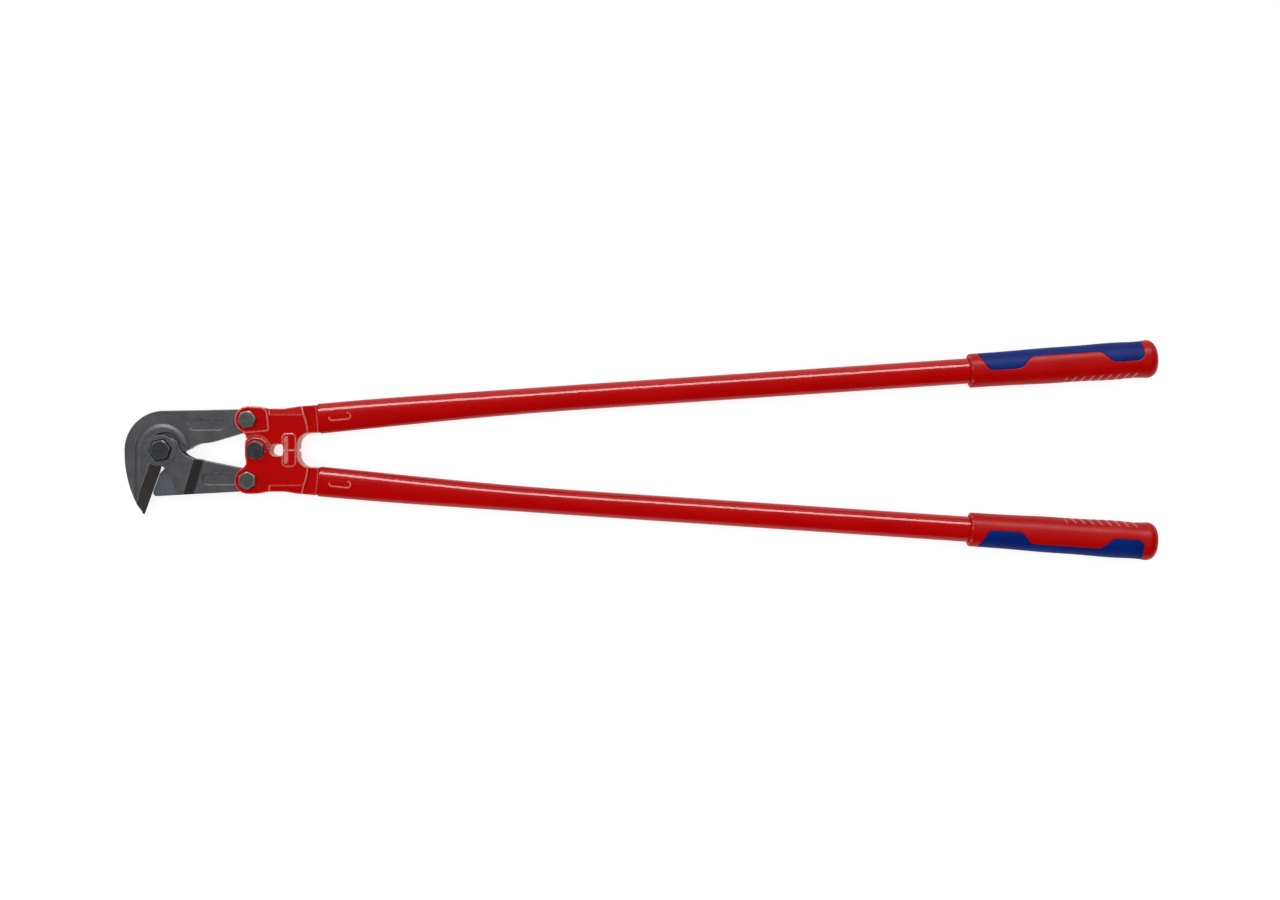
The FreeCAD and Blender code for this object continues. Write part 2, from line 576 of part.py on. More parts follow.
upper_tube = tube()
shell, inlay = grip_pieces()
plug = tube_plug()
for piece_name, upper_piece in (("tube", upper_tube), ("grip_shell", shell), ("grip_inlay", inlay),
                                ("tube_plug", plug)):
    save(f"upper_{piece_name}", upper_piece)
    save(f"lower_{piece_name}", mirrored(upper_piece))
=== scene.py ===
import json
import math

import bmesh
import bpy
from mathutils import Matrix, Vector
from mathutils.kdtree import KDTree


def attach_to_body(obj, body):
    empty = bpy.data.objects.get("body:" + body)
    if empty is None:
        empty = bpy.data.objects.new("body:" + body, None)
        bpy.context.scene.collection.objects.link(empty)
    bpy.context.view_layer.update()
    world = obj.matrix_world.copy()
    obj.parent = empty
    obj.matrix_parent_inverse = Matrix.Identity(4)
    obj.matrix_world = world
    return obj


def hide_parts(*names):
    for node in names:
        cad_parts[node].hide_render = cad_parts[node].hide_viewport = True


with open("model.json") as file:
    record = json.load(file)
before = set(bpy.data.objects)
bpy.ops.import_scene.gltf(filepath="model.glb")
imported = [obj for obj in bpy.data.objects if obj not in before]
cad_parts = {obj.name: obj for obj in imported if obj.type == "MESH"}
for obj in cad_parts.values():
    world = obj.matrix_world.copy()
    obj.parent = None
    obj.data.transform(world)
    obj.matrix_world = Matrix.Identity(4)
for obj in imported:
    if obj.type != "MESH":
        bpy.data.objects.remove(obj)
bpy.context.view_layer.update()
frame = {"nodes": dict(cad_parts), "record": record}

MM = 0.001
MID = 0.0175                     # height of the tool's mid-plane
BODY_OF = {node: body for body, members in frame["record"]["behaviour"]["bodies"].items()
           for node in members}
SLOT_OF = {entry["node"]: entry["material_slot"] for entry in frame["record"]["subparts"]}

# Handle tube, as the frame has it: a gentle bend from the fork, then a straight run.
TUBE_MOUTH = Vector((-0.2968, 0.0289))
MOUTH_SLOPE = math.radians(5.55)
HANDLE_SLOPE = math.radians(3.85)
BEND_END_X = -0.040
TUBE_END_X = 0.4655
TUBE_WALL = 0.0020
# Length along the tube, then the height and the depth of its oval section, in mm.
TUBE_STATIONS = [(0.0, 27.8, 19.0), (45.0, 27.2, 19.8), (95.0, 25.9, 21.3),
                 (145.0, 24.5, 22.8), (190.0, 23.7, 23.4), (225.0, 23.5, 23.5)]
TUBE_AROUND = 144                # points around a section
FINE_STEP, FINE_COUNT = 0.0006, 70       # close sections, over the crimp
COARSE_COUNT = 110
TUBE_LINING = 0.012              # the skin goes on this far inside, at both ends
# The mouth's rounded edge, from the inside out: place along the tube and how far in from its skin.
MOUTH_LIP = [(0.0004, -TUBE_WALL), (0.0, 0.0004 - TUBE_WALL), (0.0, -0.0006), (0.0002, -0.0002)]

# Crimped slot on each flat side of the tube.
CRIMP_START, CRIMP_END = 0.0105, 0.0305
CRIMP_HALF_WIDTH = 0.0030
CRIMP_DEPTH = 0.0008
CRIMP_BRINK, CRIMP_FLANK = 1.45, 0.80    # outer end and width of its sloping side, in half widths
CRIMP_RING, RING_HALF_WIDTH = 0.95, 0.30         # painted highlight ring around its floor, in half widths
RING_SHADE = 0.1                 # share of that painted highlight ring on the rest of the crimp

# Cutting edges, as the frame has them. The counter blade's edge lies along part of the hook's.
BLADE_PIVOT = Vector((-0.4410, 0.0))
HOOK_EDGE_HIGH = BLADE_PIVOT + Vector((-0.0019, -0.0179))
HOOK_EDGE_LOW = BLADE_PIVOT + Vector((-0.0168, -0.0590))
HOOK_EDGE_DROP = 41.1
COUNTER_FROM, COUNTER_TO = 3.1, 20.5     # below the hook's upper end, in mm
BLADE_GAP = Vector((0.00035, 0.0))
COUNTER_EDGE_HIGH = HOOK_EDGE_HIGH.lerp(HOOK_EDGE_LOW, COUNTER_FROM / HOOK_EDGE_DROP) + BLADE_GAP
COUNTER_EDGE_LOW = HOOK_EDGE_HIGH.lerp(HOOK_EDGE_LOW, COUNTER_TO / HOOK_EDGE_DROP) + BLADE_GAP
HOOK_FLANK_SLOPE = 7.25 / 9.8
COUNTER_FACE_SLOPE = 6.0 / 16.5
HOOK_WEDGE, COUNTER_WEDGE = 0.0022, 0.0040       # widths of the keen edges' wedges
EDGE_LAND = 0.00015              # half thickness of a cutting edge
EDGE_SINK = 0.00004              # the wedge lies this far under the skin at its back

# Ground faces: range of the upward share of their normal, and where they end.
HOOK_TILT, HOOK_FLANK_TOP = (0.74, 0.88), -0.012
COUNTER_TILT, COUNTER_FACE_RIGHT = (0.90, 0.968), -0.42
# range and end of the counter blade's step, which gets a darker steel as painted shade
STEP_TILT, STEP_RIGHT = (0.93, 0.985), -0.40

# Painted highlights on the grips' ribs and the forks' stop bars, and painted shade in the seam between
# the forks.
RIBS_FROM, RIBS_TO = 0.389, 0.457        # ribbed stretch of the grips
RIBS_INSIDE = 0.0122             # the ribs start this far from the handle's axis
RIB_PITCH = 0.0080
RIB_CREST = 0.0011               # half width of the painted highlight on a rib's crest
RIB_SLANT = 0.8
RIB_FADE = 0.001                 # length over which a rib's painted highlight fades in
LIP_END = 0.3060                 # end of the lip at the grip's mouth
BAR_LEFT, BAR_RIGHT = -0.3269, -0.3235   # stop bars of the forks, which get a painted highlight
BAR_FOOT = 0.0121                # above the mid-plane
# strength of the painted highlight on the forks' stop bars
BAR_HIGHLIGHT = 0.8
SEAM_HALF = 0.0007               # the seam between the forks gets painted shade and no edge highlight

# Masks on the softened pieces, and the voxel and number of smoothing passes of each kind of piece.
RIM_WIDTH = 0.00105              # band along a sharp edge: painted highlight, partly also wear
HOLLOW_WIDTH = 0.0011            # band along an inside corner: painted shade, partly also grime
EDGE_SAMPLE = 0.0003
SHARPEST, BLUNTEST = math.radians(50), math.radians(11)      # blunter edges leave no mask
LEAST_STRENGTH = 0.25
BLADE_SKIN = (0.00042, 3)
FORK_SKIN = (0.00048, 5)
SHELL_SKIN = (0.00069, 2)
INLAY_SKIN = (0.00055, 2)
BOLT_SKIN = (0.00030, 2)
NUT_SKIN = (0.00032, 2)

# Studio. A band is the range of the direction's height, or of its Y, over which the sky changes.
FLOOR_GLOW = 0.80                # the floor is a light table, which keeps the shadows faint
FLOOR_HALF = 25.0
FLOOR_DROP = 0.0002
SKY_LEVEL, SKY_FALL = 0.32, -0.60        # straight on, and the change towards +X
SKY_HORIZON, SKY_LEAST = 0.9, 0.03       # least level low down and higher up
HORIZON_BAND = (0.06, 0.16)
ZENITH_LEVEL = 0.10              # share of the sky that is left straight above
ZENITH_BAND = (0.80, 0.95)
NEARSIDE_LEVEL = 0.15            # share of the sky that is left towards -Y
NEARSIDE_BAND = (-0.15, 0.45)
SKY_COLOUR = (0.96, 0.98, 1.0, 1.0)
LAMP_AIM = Vector((0.0, 0.0, 0.0))
CAMERA_PLACE = (-0.00095, 0.0001, MID + 1.640)

NOISE_RANGE = (0.3, 0.7)         # where nearly all of a noise's values lie
GRAIN_ALONG_Y = (60.0, 4.0, 1.0)
GRAIN_ALONG_X = (4.0, 60.0, 1.0)
LATHE_RINGS = (1.0, 1.0, 30.0)


# ---------------------------------------------------------------- shader helpers

def map_range(tree, value, band, start, end):
    """Maps value smoothly from the band to start and end, held at both ends."""
    node = tree.nodes.new("ShaderNodeMapRange")
    node.interpolation_type = "SMOOTHSTEP"
    for key, number in zip(("From Min", "From Max", "To Min", "To Max"), (*band, start, end)):
        node.inputs[key].default_value = number
    tree.links.new(value, node.inputs["Value"])
    return node.outputs["Result"]


def arithmetic(tree, operation, *values):
    """Math node; each value is a number or a socket."""
    node = tree.nodes.new("ShaderNodeMath")
    node.operation = operation
    for socket, value in zip(node.inputs, values):
        if isinstance(value, float):
            socket.default_value = value
        else:
            tree.links.new(value, socket)
    return node.outputs[0]


class Graph:
    """Short way to add and join the shader nodes of one material."""

    def __init__(self, name):
        self.material = bpy.data.materials.new(name)
        self.material.use_nodes = True
        self.tree = self.material.node_tree
        self.tree.nodes.clear()
        self.output = self.tree.nodes.new("ShaderNodeOutputMaterial")
        self.shader = self.tree.nodes.new("ShaderNodeBsdfPrincipled")
        self.join(self.shader.outputs["BSDF"], self.output.inputs["Surface"])
        self.place = self.tree.nodes.new("ShaderNodeTexCoord").outputs["Object"]

    def join(self, source, target):
        self.tree.links.new(source, target)

    def feed(self, key, source):
        """Joins a socket to an input of the shader."""
        self.join(source, self.shader.inputs[key])

    def noise(self, scale, detail=3.0, roughness=0.55, stretch=None):
        node = self.tree.nodes.new("ShaderNodeTexNoise")
        node.inputs["Scale"].default_value = scale
        node.inputs["Detail"].default_value = detail
        node.inputs["Roughness"].default_value = roughness
        place = self.place
        if stretch:
            mapping = self.tree.nodes.new("ShaderNodeMapping")
            mapping.inputs["Scale"].default_value = stretch
            self.join(place, mapping.inputs["Vector"])
            place = mapping.outputs["Vector"]
        self.join(place, node.inputs["Vector"])
        return node.outputs["Fac"]

    def ramp(self, value, low, high, start=0.0, end=1.0):
        return map_range(self.tree, value, (low, high), start, end)

    def drift(self, scale, start=0.0, end=1.0, **shape):
        """Noise whose usual range is mapped to start and end."""
        return map_range(self.tree, self.noise(scale, **shape), NOISE_RANGE, start, end)

    def mix(self, share, first, second):
        """Colour mix; first and second are colours or sockets."""
        node = self.tree.nodes.new("ShaderNodeMix")
        node.data_type = "RGBA"
        self.join(share, node.inputs["Factor"])
        for socket, value in zip(node.inputs[6:8], (first, second)):     # the colour inputs
            if isinstance(value, tuple):
                socket.default_value = (*value, 1.0)
            else:
                self.join(value, socket)
        return node.outputs[2]                   # the colour output

    def mask(self, name):
        """Value stored on the mesh: rim along sharp edges, hollow along inside corners."""
        node = self.tree.nodes.new("ShaderNodeAttribute")
        node.attribute_name = name
        return node.outputs["Fac"]

    def product(self, first, second):
        return arithmetic(self.tree, "MULTIPLY", first, second)

    def bump(self, height, strength, distance):
        node = self.tree.nodes.new("ShaderNodeBump")
        node.inputs["Strength"].default_value = strength
        node.inputs["Distance"].default_value = distance
        self.join(height, node.inputs["Height"])
        self.feed("Normal", node.outputs["Normal"])

    def fixed(self, **values):
        """Constants of the shader's inputs, with _ for the space in their names."""
        for key, value in values.items():
            self.shader.inputs[key.replace("_", " ")].default_value = value


def red_paint(name):
    """Gloss red powder coat: orange peel, small drift, painted highlight (partly wear) on the edges,
    painted shade (partly grime) in the corners.
    """
    graph = Graph(name)
    body = graph.mix(graph.drift(26.0), (0.525, 0.0004, 0.0003), (0.565, 0.0008, 0.0006))
    # painted shade in inside corners, partly also grime: the hollow mask darkens the red
    shade_and_grime = graph.product(graph.mask("hollow"), graph.drift(200.0, 0.5, 0.9))
    body = graph.mix(shade_and_grime, body, (0.290, 0.0004, 0.0003))
    # painted highlight on sharp edges, partly also paint wear: the rim mask turns the red pale pink
    wear_and_highlight = graph.ramp(graph.noise(420.0, 2.0), 0.30, 0.62, 0.5, 1.0)
    edge = graph.product(graph.mask("rim"), wear_and_highlight)
    graph.feed("Base Color", graph.mix(edge, body, (0.92, 0.27, 0.23)))
    graph.feed("Roughness", graph.drift(90.0, 0.30, 0.38))
    graph.fixed(Specular_IOR_Level=0.03, Coat_Weight=0.42, Coat_Roughness=0.05, Coat_IOR=1.5)
    graph.bump(graph.noise(520.0, 2.0), 0.025, 0.00012)
    return graph.material


def blade_steel(name, low, high, edge, roughness):
    """Forged tool steel with a dark phosphate skin, paler edges that are wear and painted highlight, and
    darker corners that are grime and painted shade.
    """
    graph = Graph(name)
    cloud = graph.ramp(graph.noise(60.0, 5.0, 0.62), 0.32, 0.68)
    skin = graph.mix(cloud, low, high)
    speck = graph.ramp(graph.noise(1500.0, 2.0), 0.55, 0.75, 0.0, 0.35)
    skin = graph.mix(speck, skin, tuple(value * 1.5 for value in high))
    # painted shade in inside corners, partly also grime: the hollow mask darkens the skin
    skin = graph.mix(graph.mask("hollow"), skin, tuple(value * 0.18 for value in low))
    # paler sharp edges: wear and painted highlight
    wear_and_highlight = graph.product(graph.mask("rim"), graph.drift(300.0, 0.2, 0.7))
    graph.feed("Base Color", graph.mix(wear_and_highlight, skin, edge))
    graph.feed("Roughness", graph.drift(240.0, roughness - 0.05, roughness + 0.07, detail=4.0))
    graph.fixed(Metallic=0.22, Specular_IOR_Level=0.2)
    graph.bump(graph.noise(650.0, 4.0, 0.6), 0.22, 0.00010)
    return graph.material


def ground_steel(name, colour, grain_stretch):
    """Ground cutting faces: fine parallel grinding marks."""
    graph = Graph(name)
    grain = graph.noise(90.0, 4.0, 0.7, grain_stretch)
    dark = tuple(value * 0.72 for value in colour)
    graph.feed("Base Color", graph.mix(graph.ramp(grain, 0.35, 0.65), dark, colour))
    graph.feed("Roughness", graph.ramp(grain, *NOISE_RANGE, 0.30, 0.44))
    graph.fixed(Metallic=0.5, Specular_IOR_Level=0.2)
    graph.bump(grain, 0.25, 0.00006)
    return graph.material


def bolt_steel(name, low, high, roughness):
    """Blackened bolt: scale patches, brighter sharp edges that are spanner wear and painted highlight.
    """
    graph = Graph(name)
    skin = graph.mix(graph.ramp(graph.noise(220.0, 5.0, 0.65), 0.35, 0.65), low, high)
    # brighter sharp edges: spanner wear and painted highlight
    wear_and_highlight = graph.product(graph.mask("rim"), graph.drift(400.0, 0.35, 0.9))
    graph.feed("Base Color", graph.mix(wear_and_highlight, skin, tuple(value * 2.4 for value in high)))
    graph.feed("Roughness", graph.drift(500.0, roughness, roughness + 0.14))
    graph.fixed(Metallic=0.6, Specular_IOR_Level=0.3)
    graph.bump(graph.noise(1400.0, 3.0), 0.20, 0.00008)
    return graph.material


def bright_steel(name):
    """Turned bush: rings of tool marks."""
    graph = Graph(name)
    marks = graph.noise(300.0, 3.0, 0.6, LATHE_RINGS)
    graph.feed("Base Color", graph.mix(marks, (0.34, 0.34, 0.35), (0.56, 0.56, 0.55)))
    graph.feed("Roughness", graph.ramp(marks, *NOISE_RANGE, 0.25, 0.4))
    graph.fixed(Metallic=1.0)
    graph.bump(marks, 0.2, 0.00005)
    return graph.material


def grip_plastic(name, low, high, roughness, grain, level):
    """Moulded grip plastic: fine spark-eroded grain, a slight colour drift, and a painted highlight
    where the rim mask is set.
    """
    graph = Graph(name)
    body = graph.mix(graph.drift(40.0, detail=4.0), low, high)
    # painted highlight colour, laid on where the rim mask is set
    highlight_colour = tuple(value + 0.30 for value in high)
    graph.feed("Base Color", graph.mix(graph.mask("rim"), body, highlight_colour))
    graph.feed("Roughness", graph.drift(300.0, roughness - 0.04, roughness + 0.07))
    graph.fixed(Specular_IOR_Level=level)
    graph.bump(graph.noise(grain, 3.0, 0.6), 0.30, 0.00007)
    return graph.material


MATERIALS = {
    "red_forging": red_paint("red_forging_paint"),
    "red_tube": red_paint("red_tube_paint"),
    "blade_steel": blade_steel("blade_phosphate", (0.080, 0.080, 0.085), (0.104, 0.104, 0.111),
                               (0.26, 0.26, 0.28), 0.42),
    "bolt_steel": bolt_steel("bolt_blackened", (0.082, 0.088, 0.085), (0.122, 0.128, 0.124), 0.38),
    "black_bolt": bolt_steel("bolt_black_oxide", (0.036, 0.032, 0.037), (0.058, 0.052, 0.060), 0.42),
    "bush_steel": bright_steel("bush_turned"),
    "red_plastic": grip_plastic("grip_red", (0.490, 0.0006, 0.0004), (0.530, 0.0016, 0.0010), 0.36,
                                1500.0, 0.09),
    "blue_soft": grip_plastic("grip_blue", (0.0002, 0.015, 0.165), (0.0004, 0.021, 0.200), 0.50,
                              2200.0, 0.07),
    "black_plastic": grip_plastic("plug_black", (0.012, 0.012, 0.013), (0.022, 0.022, 0.023), 0.45,
                                  1200.0, 0.40),
}
HOOK_GROUND = ground_steel("hook_flank_ground", (0.105, 0.099, 0.092), GRAIN_ALONG_Y)
COUNTER_GROUND = ground_steel("counter_face_ground", (0.150, 0.160, 0.175), GRAIN_ALONG_X)
# painted shade: a darker copy of ground steel on the counter blade's step, which faces away from the
# light
STEP_SHADE = ground_steel("counter_step_shade", (0.052, 0.046, 0.048), GRAIN_ALONG_Y)
PIVOT_BOLT = bolt_steel("pivot_bolt_blued", (0.040, 0.046, 0.058), (0.064, 0.073, 0.090), 0.36)


# ---------------------------------------------------------------- mesh helpers

def link(obj):
    bpy.context.scene.collection.objects.link(obj)
    return obj


def with_modifiers_applied(obj):
    """The object's mesh with all its modifiers in it."""
    graph = bpy.context.evaluated_depsgraph_get()
    mesh = bpy.data.meshes.new_from_object(obj.evaluated_get(graph))
    obj.modifiers.clear()
    obj.data = mesh
    return obj


def attach(obj, node):
    """Puts a piece under the body of the CAD node that it stands for, and hides that node."""
    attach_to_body(obj, BODY_OF[node])
    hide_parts(node)


def shade_smooth(piece):
    piece.data.polygons.foreach_set("use_smooth", [True] * len(piece.data.polygons))


def store(piece, name, values):
    """Puts a number on each of the piece's points, which the materials read as a mask."""
    piece.data.attributes.new(name, "FLOAT", "POINT").data.foreach_set("value", values)


def eased(share):
    """Soft start and end for a share between 0 and 1."""
    return share * share * (3 - 2 * share)


def edge_samples(mesh, sign):
    """Points along the sharp (sign +1) or the inside (sign -1) edges of a CAD mesh, with a strength."""
    work = bmesh.new()
    work.from_mesh(mesh)
    bmesh.ops.remove_doubles(work, verts=work.verts, dist=1e-6)
    points, strengths = [], []
    for edge in work.edges:
        angle = sign * edge.calc_face_angle_signed(0.0)
        if angle <= BLUNTEST:
            continue
        start, end = edge.verts[0].co, edge.verts[1].co
        count = max(1, round((end - start).length / EDGE_SAMPLE))
        strength = min(1.0, (angle - BLUNTEST) / (SHARPEST - BLUNTEST) + LEAST_STRENGTH)
        for index in range(count + 1):
            points.append(start.lerp(end, index / count))
            strengths.append(strength)
    work.free()
    return points, strengths


def store_mask(piece, name, source, sign, width):
    """Writes on the piece's points how near they are to such an edge of the CAD mesh."""
    points, strengths = edge_samples(source, sign)
    tree = KDTree(max(1, len(points)))
    for index, place in enumerate(points):
        tree.insert(place, index)
    tree.balance()
    values = []
    for vertex in piece.data.vertices:
        _, index, distance = tree.find(vertex.co)
        near = 0.0 if index is None else max(0.0, 1.0 - distance / width)
        values.append(eased(near) * strengths[index] if near else 0.0)
    store(piece, name, values)


def refined(node, skin):
    """Copy of a CAD node with every edge softly rounded, as a forging or a moulding has them."""
    source = frame["nodes"][node]
    voxel, passes = skin
    piece = link(bpy.data.objects.new(node + "_body", source.data.copy()))
    remesh = piece.modifiers.new("remesh", "REMESH")
    remesh.mode = "VOXEL"
    remesh.voxel_size = voxel
    smooth = piece.modifiers.new("smooth", "SMOOTH")
    smooth.factor = 0.5
    smooth.iterations = passes
    with_modifiers_applied(piece)
    piece.data.materials.clear()
    piece.data.materials.append(MATERIALS[SLOT_OF[node]])
    shade_smooth(piece)
    store_mask(piece, "rim", source.data, 1, RIM_WIDTH)
    store_mask(piece, "hollow", source.data, -1, HOLLOW_WIDTH)
    attach(piece, node)
    return piece


def paint_ground_faces(piece, material, tilt, inside):
    """Another material on the faces tilted within a range: the ground faces, and the counter blade's
    step, whose darker steel is painted shade.
    """
    piece.data.materials.append(material)
    for polygon in piece.data.polygons:
        if tilt[0] < abs(polygon.normal.z) < tilt[1] and inside(polygon.center, polygon.normal):
            polygon.material_index = len(piece.data.materials) - 1


def add_keen_edge(piece, start, end, slope, width):
    """Thin wedge along a cutting edge, which is finer than the softened skin can hold.

    Its back is inside the blade, and it has the blade's first ground material.
    """
    along = (end - start).normalized()
    back = Vector((-along.y, along.x)) * width
    thick = EDGE_LAND + slope * width - EDGE_SINK
    mesh = bmesh.new()
    mesh.from_mesh(piece.data)
    rings = []
    for place in (start, end):
        behind = place + back
        corners = ((place, EDGE_LAND), (place, -EDGE_LAND), (behind, -thick), (behind, thick))
        rings.append([mesh.verts.new((spot.x, spot.y, MID + lift)) for spot, lift in corners])
    first, second = rings
    faces = []
    for side in range(4):
        following = (side + 1) % 4
        faces.append(mesh.faces.new([first[side], first[following], second[following], second[side]]))
    faces += [mesh.faces.new(ring) for ring in rings]
    for face in faces:
        face.material_index = 1
    bmesh.ops.recalc_face_normals(mesh, faces=faces)
    mesh.to_mesh(piece.data)
    mesh.free()


# ---------------------------------------------------------------- tubes

def tube_place(along):
    """Point and slope on the upper tube's axis, and the length of its bend."""
    turn_sines = math.sin(MOUTH_SLOPE) - math.sin(HANDLE_SLOPE)
    radius = (BEND_END_X - TUBE_MOUTH.x) / turn_sines
    bend = radius * (MOUTH_SLOPE - HANDLE_SLOPE)
    slope = MOUTH_SLOPE - min(along, bend) / radius
    x = TUBE_MOUTH.x + radius * (math.sin(MOUTH_SLOPE) - math.sin(slope))
    y = TUBE_MOUTH.y + radius * (math.cos(slope) - math.cos(MOUTH_SLOPE))
    beyond = max(along - bend, 0.0)
    return Vector((x + beyond * math.cos(slope), y + beyond * math.sin(slope))), slope, bend


def tube_halves(along):
    """Half height and half depth of the tube's oval section."""
    for (start, high_a, deep_a), (end, high_b, deep_b) in zip(TUBE_STATIONS, TUBE_STATIONS[1:]):
        if along / MM <= end:
            share = max(0.0, (along / MM - start) / (end - start))
            return ((high_a + (high_b - high_a) * share) / 2 * MM,
                    (deep_a + (deep_b - deep_a) * share) / 2 * MM)
    return TUBE_STATIONS[-1][1] / 2 * MM, TUBE_STATIONS[-1][2] / 2 * MM


def crimp_place(along, side):
    """Nearest place on the slot's middle line, and the distance from it in half widths."""
    middle = min(max(along, CRIMP_START + CRIMP_HALF_WIDTH), CRIMP_END - CRIMP_HALF_WIDTH)
    return middle, math.hypot(along - middle, side) / CRIMP_HALF_WIDTH


def crimp(along, side):
    """How deep the crimped slot is at a place on the tube's flat side."""
    _, away = crimp_place(along, side)
    return CRIMP_DEPTH * eased(min(max((CRIMP_BRINK - away) / CRIMP_FLANK, 0.0), 1.0))


def crimp_highlight(place):
    """Painted highlight on the crimp's lower side and on its end away from the fork."""
    turned = math.copysign(1.0, place.y)
    ahead, aside = place.x - TUBE_MOUTH.x, abs(place.y) - TUBE_MOUTH.y
    along = ahead * math.cos(MOUTH_SLOPE) + aside * math.sin(MOUTH_SLOPE)
    side = aside * math.cos(MOUTH_SLOPE) - ahead * math.sin(MOUTH_SLOPE)
    middle, away = crimp_place(along, side)
    ring = max(0.0, 1.0 - abs(away - CRIMP_RING) / RING_HALF_WIDTH)
    return ring if side * turned < 0 or along > middle else ring * RING_SHADE


def tube_mesh(name):
    """Outer skin with the crimps, turned over the mouth's edge and a little way inside."""
    mesh = bmesh.new()
    bend = tube_place(0)[2]
    length = bend + (TUBE_END_X - BEND_END_X) / math.cos(HANDLE_SLOPE)
    fine = [index * FINE_STEP for index in range(1, FINE_COUNT)]
    rest = length - fine[-1]
    coarse = [fine[-1] + rest * (index / COARSE_COUNT) for index in range(1, COARSE_COUNT + 1)]
    sections = [(TUBE_LINING, -TUBE_WALL)] + MOUTH_LIP
    sections += [(along, 0.0) for along in fine + coarse]
    sections += [(length, -TUBE_WALL), (length - TUBE_LINING, -TUBE_WALL)]
    rings = []
    for along, inset in sections:
        centre, slope, _ = tube_place(along)
        half_height, half_depth = tube_halves(along)
        ring = []
        for step in range(TUBE_AROUND):
            angle = 2 * math.pi * step / TUBE_AROUND
            side = math.cos(angle) * (half_height + inset)
            lift = math.sin(angle) * (half_depth + inset)
            if inset == 0.0:
                lift -= math.copysign(crimp(along, side), lift)
            ring.append(mesh.verts.new((centre.x - side * math.sin(slope),
                                        centre.y + side * math.cos(slope), MID + lift)))
        rings.append(ring)
    for first, second in zip(rings, rings[1:]):
        for step in range(TUBE_AROUND):
            following = (step + 1) % TUBE_AROUND
            mesh.faces.new((first[step], second[step], second[following], first[following]))
    mesh.faces.new(rings[0])
    mesh.faces.new(rings[-1])
    bmesh.ops.recalc_face_normals(mesh, faces=mesh.faces)
    data = bpy.data.meshes.new(name)
    mesh.to_mesh(data)
    mesh.free()
    return data


def tubes():
    for handle, side in (("upper", 1), ("lower", -1)):
        node = handle + "_tube"
        piece = link(bpy.data.objects.new(node + "_body", tube_mesh(node + "_mesh")))
        if side < 0:
            for vertex in piece.data.vertices:
                vertex.co.y *= -1
            piece.data.flip_normals()
        shade_smooth(piece)
        piece.data.materials.append(MATERIALS["red_tube"])
        # the crimp's painted highlight goes into the rim mask
        store(piece, "rim", [crimp_highlight(vertex.co) for vertex in piece.data.vertices])
        attach(piece, node)


# ---------------------------------------------------------------- pieces

def blades():
    hook = refined("hook_blade", BLADE_SKIN)
    paint_ground_faces(hook, HOOK_GROUND, HOOK_TILT,
                       lambda centre, normal: centre.y < HOOK_FLANK_TOP and normal.x > 0.3)
    counter = refined("counter_blade", BLADE_SKIN)
    paint_ground_faces(counter, COUNTER_GROUND, COUNTER_TILT,
                       lambda centre, normal: centre.x < COUNTER_FACE_RIGHT and normal.x < -0.1)
    # painted shade on the counter blade's step
    paint_ground_faces(counter, STEP_SHADE, STEP_TILT,
                       lambda centre, normal: centre.x < STEP_RIGHT and normal.x > 0.15)
    add_keen_edge(hook, HOOK_EDGE_LOW, HOOK_EDGE_HIGH, HOOK_FLANK_SLOPE, HOOK_WEDGE)
    add_keen_edge(counter, COUNTER_EDGE_HIGH, COUNTER_EDGE_LOW, COUNTER_FACE_SLOPE, COUNTER_WEDGE)


def forks():
    for node in ("upper_fork", "lower_fork"):
        piece = refined(node, FORK_SKIN)
        wear_and_highlight = piece.data.attributes["rim"].data
        shade_and_grime_values = piece.data.attributes["hollow"].data
        for vertex, share, shade_and_grime_share in zip(piece.data.vertices, wear_and_highlight, shade_and_grime_values):
            x, y, z = vertex.co
            # painted shade in the seam between the forks, with no edge highlight
            if abs(y) < SEAM_HALF:
                share.value, shade_and_grime_share.value = 0.0, 1.0
            # painted highlight on the stop bars
            elif BAR_LEFT < x < BAR_RIGHT and abs(z - MID) > BAR_FOOT:
                share.value = BAR_HIGHLIGHT


def keep_rib_highlights(piece):
    """Painted highlights stay only on the ribs' crests on the grip's inner side and on the lip at its
    mouth.
    """
    bend_end = tube_place(tube_place(0)[2])[0]
    for vertex, share in zip(piece.data.vertices, piece.data.attributes["rim"].data):
        x, y, _ = vertex.co
        inward = bend_end.y + (x - bend_end.x) * math.tan(HANDLE_SLOPE) - abs(y)
        if RIBS_FROM < x < RIBS_TO and inward > RIBS_INSIDE:
            # painted highlight along each rib's crest
            across = (x + RIB_SLANT * inward - RIBS_FROM) % RIB_PITCH - RIB_PITCH / 2
            fade = min(1.0, (inward - RIBS_INSIDE) / RIB_FADE)
            share.value = max(0.0, 1.0 - abs(across) / RIB_CREST) * fade
        elif x > LIP_END:
            share.value = 0.0


def grips():
    for handle in ("upper", "lower"):
        keep_rib_highlights(refined(handle + "_grip_shell", SHELL_SKIN))
        inlay = refined(handle + "_grip_inlay", INLAY_SKIN)
        inlay.data.attributes["rim"].data.foreach_set("value", [0.0] * len(inlay.data.vertices))


def bolts():
    for joint in ("blade_pivot", "handle_pivot", "upper_link", "lower_link"):
        refined(joint + "_bolt", BOLT_SKIN)
        refined(joint + "_nut", NUT_SKIN)
    bpy.data.objects["blade_pivot_bolt_body"].data.materials[0] = PIVOT_BOLT


def remaining_cad_nodes():
    """Gives every CAD node its material; the pieces with no finer shape are seen as they are."""
    for node, obj in frame["nodes"].items():
        obj.data.materials.clear()
        obj.data.materials.append(MATERIALS[SLOT_OF[node]])


# ---------------------------------------------------------------- studio

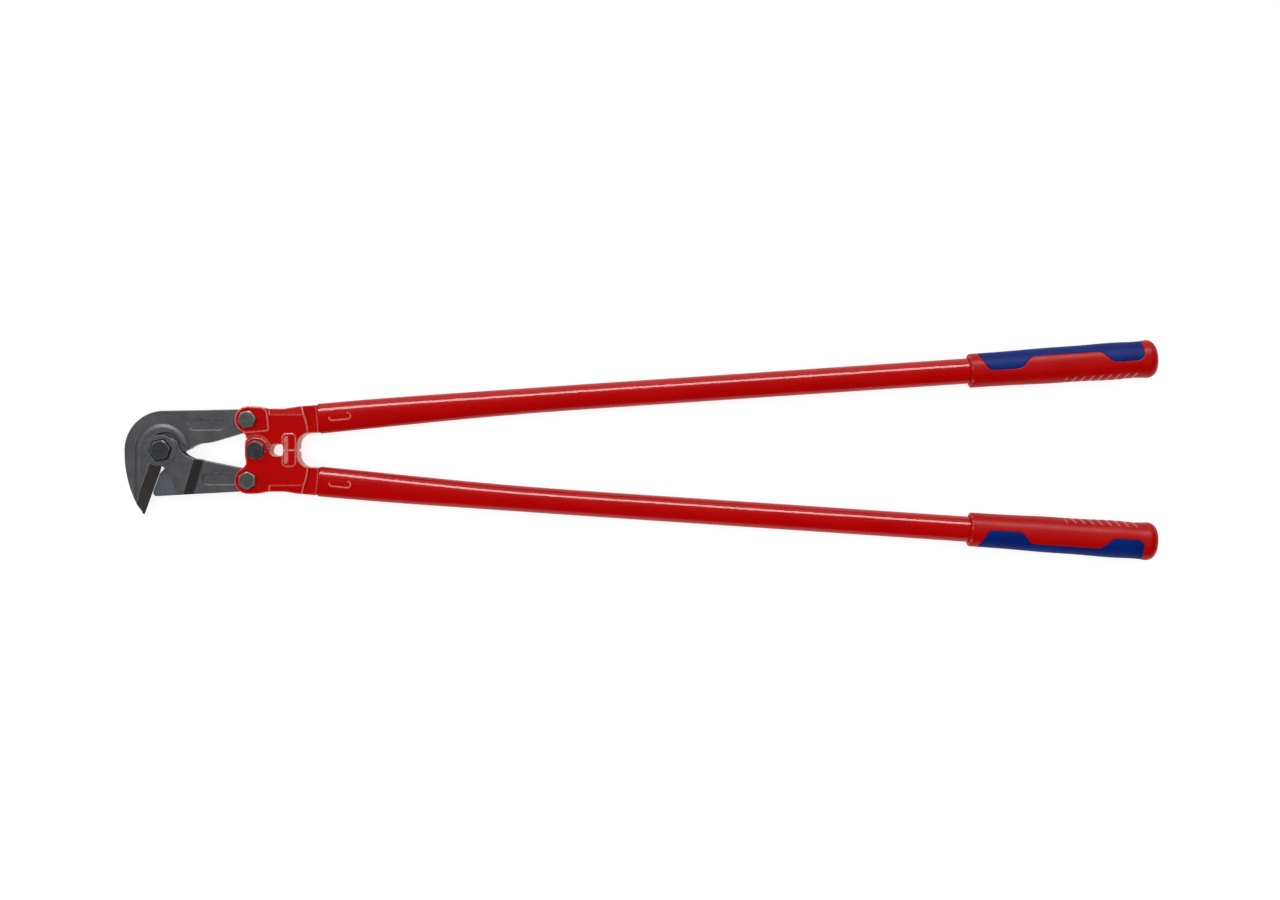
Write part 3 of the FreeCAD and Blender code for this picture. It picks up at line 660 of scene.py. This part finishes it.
def floor():
    """Pale matt light table with a faint paper grain."""
    graph = Graph("floor_paper")
    graph.feed("Base Color", graph.mix(graph.drift(3.0), (0.34, 0.34, 0.34), (0.37, 0.37, 0.37)))
    graph.feed("Roughness", graph.drift(40.0, 0.82, 0.9))
    graph.fixed(Specular_IOR_Level=0.1, Emission_Color=(1.0, 1.0, 1.0, 1.0),
                Emission_Strength=FLOOR_GLOW)
    graph.bump(graph.noise(900.0), 0.05, 0.0001)
    mesh = bmesh.new()
    bmesh.ops.create_grid(mesh, x_segments=8, y_segments=8, size=FLOOR_HALF)
    data = bpy.data.meshes.new("floor_mesh")
    mesh.to_mesh(data)
    mesh.free()
    data.materials.append(graph.material)
    ground = link(bpy.data.objects.new("floor", data))
    ground.location.z = -FLOOR_DROP


def area_light(name, place, size, power, glossy=True, diffuse=True):
    """Soft box that looks at the tool; it can be left out of reflections or of the matt light."""
    light = bpy.data.lights.new(name, "AREA")
    light.shape = "RECTANGLE"
    light.size, light.size_y = size
    light.energy = power
    lamp = link(bpy.data.objects.new(name, light))
    lamp.location = place
    lamp.rotation_euler = (LAMP_AIM - Vector(place)).to_track_quat("-Z", "Y").to_euler()
    lamp.visible_glossy = glossy
    lamp.visible_diffuse = diffuse


def studio():
    """Soft boxes, and a sky that falls off towards +X and so gives the slopes their shape.

    The sky is brighter low down, and dimmed straight above and towards -Y.
    """
    world = bpy.data.worlds.new("studio")
    bpy.context.scene.world = world
    world.use_nodes = True
    tree = world.node_tree
    place = tree.nodes.new("ShaderNodeTexCoord")
    split = tree.nodes.new("ShaderNodeSeparateXYZ")
    tree.links.new(place.outputs["Generated"], split.inputs["Vector"])
    east, north, height = split.outputs
    sideways = arithmetic(tree, "MULTIPLY_ADD", east, SKY_FALL, SKY_LEVEL)
    horizon = map_range(tree, height, HORIZON_BAND, SKY_HORIZON, SKY_LEAST)
    zenith = map_range(tree, height, ZENITH_BAND, 1.0, ZENITH_LEVEL)
    nearside = map_range(tree, north, NEARSIDE_BAND, NEARSIDE_LEVEL, 1.0)
    level = arithmetic(tree, "MAXIMUM", sideways, horizon)
    dimmed = arithmetic(tree, "MULTIPLY", level, zenith)
    shaded = arithmetic(tree, "MULTIPLY", dimmed, nearside)
    background = tree.nodes["Background"]
    tree.links.new(shaded, background.inputs["Strength"])
    background.inputs["Color"].default_value = SKY_COLOUR
    area_light("overhead", (0.0, 0.0, 2.6), (3.4, 3.0), 64.0, glossy=False)
    area_light("strip", (0.0, 2.17, 1.70), (3.6, 0.80), 190.0, diffuse=False)
    area_light("low_wall", (0.0, 3.2, 0.75), (5.0, 0.9), 16.0, diffuse=False)


def camera():
    """Straight down on the tool, as far away as shows its whole length."""
    data = bpy.data.cameras.new("camera")
    data.lens = 50.0
    data.sensor_width = 36.0
    view = link(bpy.data.objects.new("camera", data))
    view.location = CAMERA_PLACE
    bpy.context.scene.camera = view
    bpy.context.scene.view_settings.view_transform = "Standard"


remaining_cad_nodes()
blades()
forks()
tubes()
grips()
bolts()
floor()
studio()
camera()
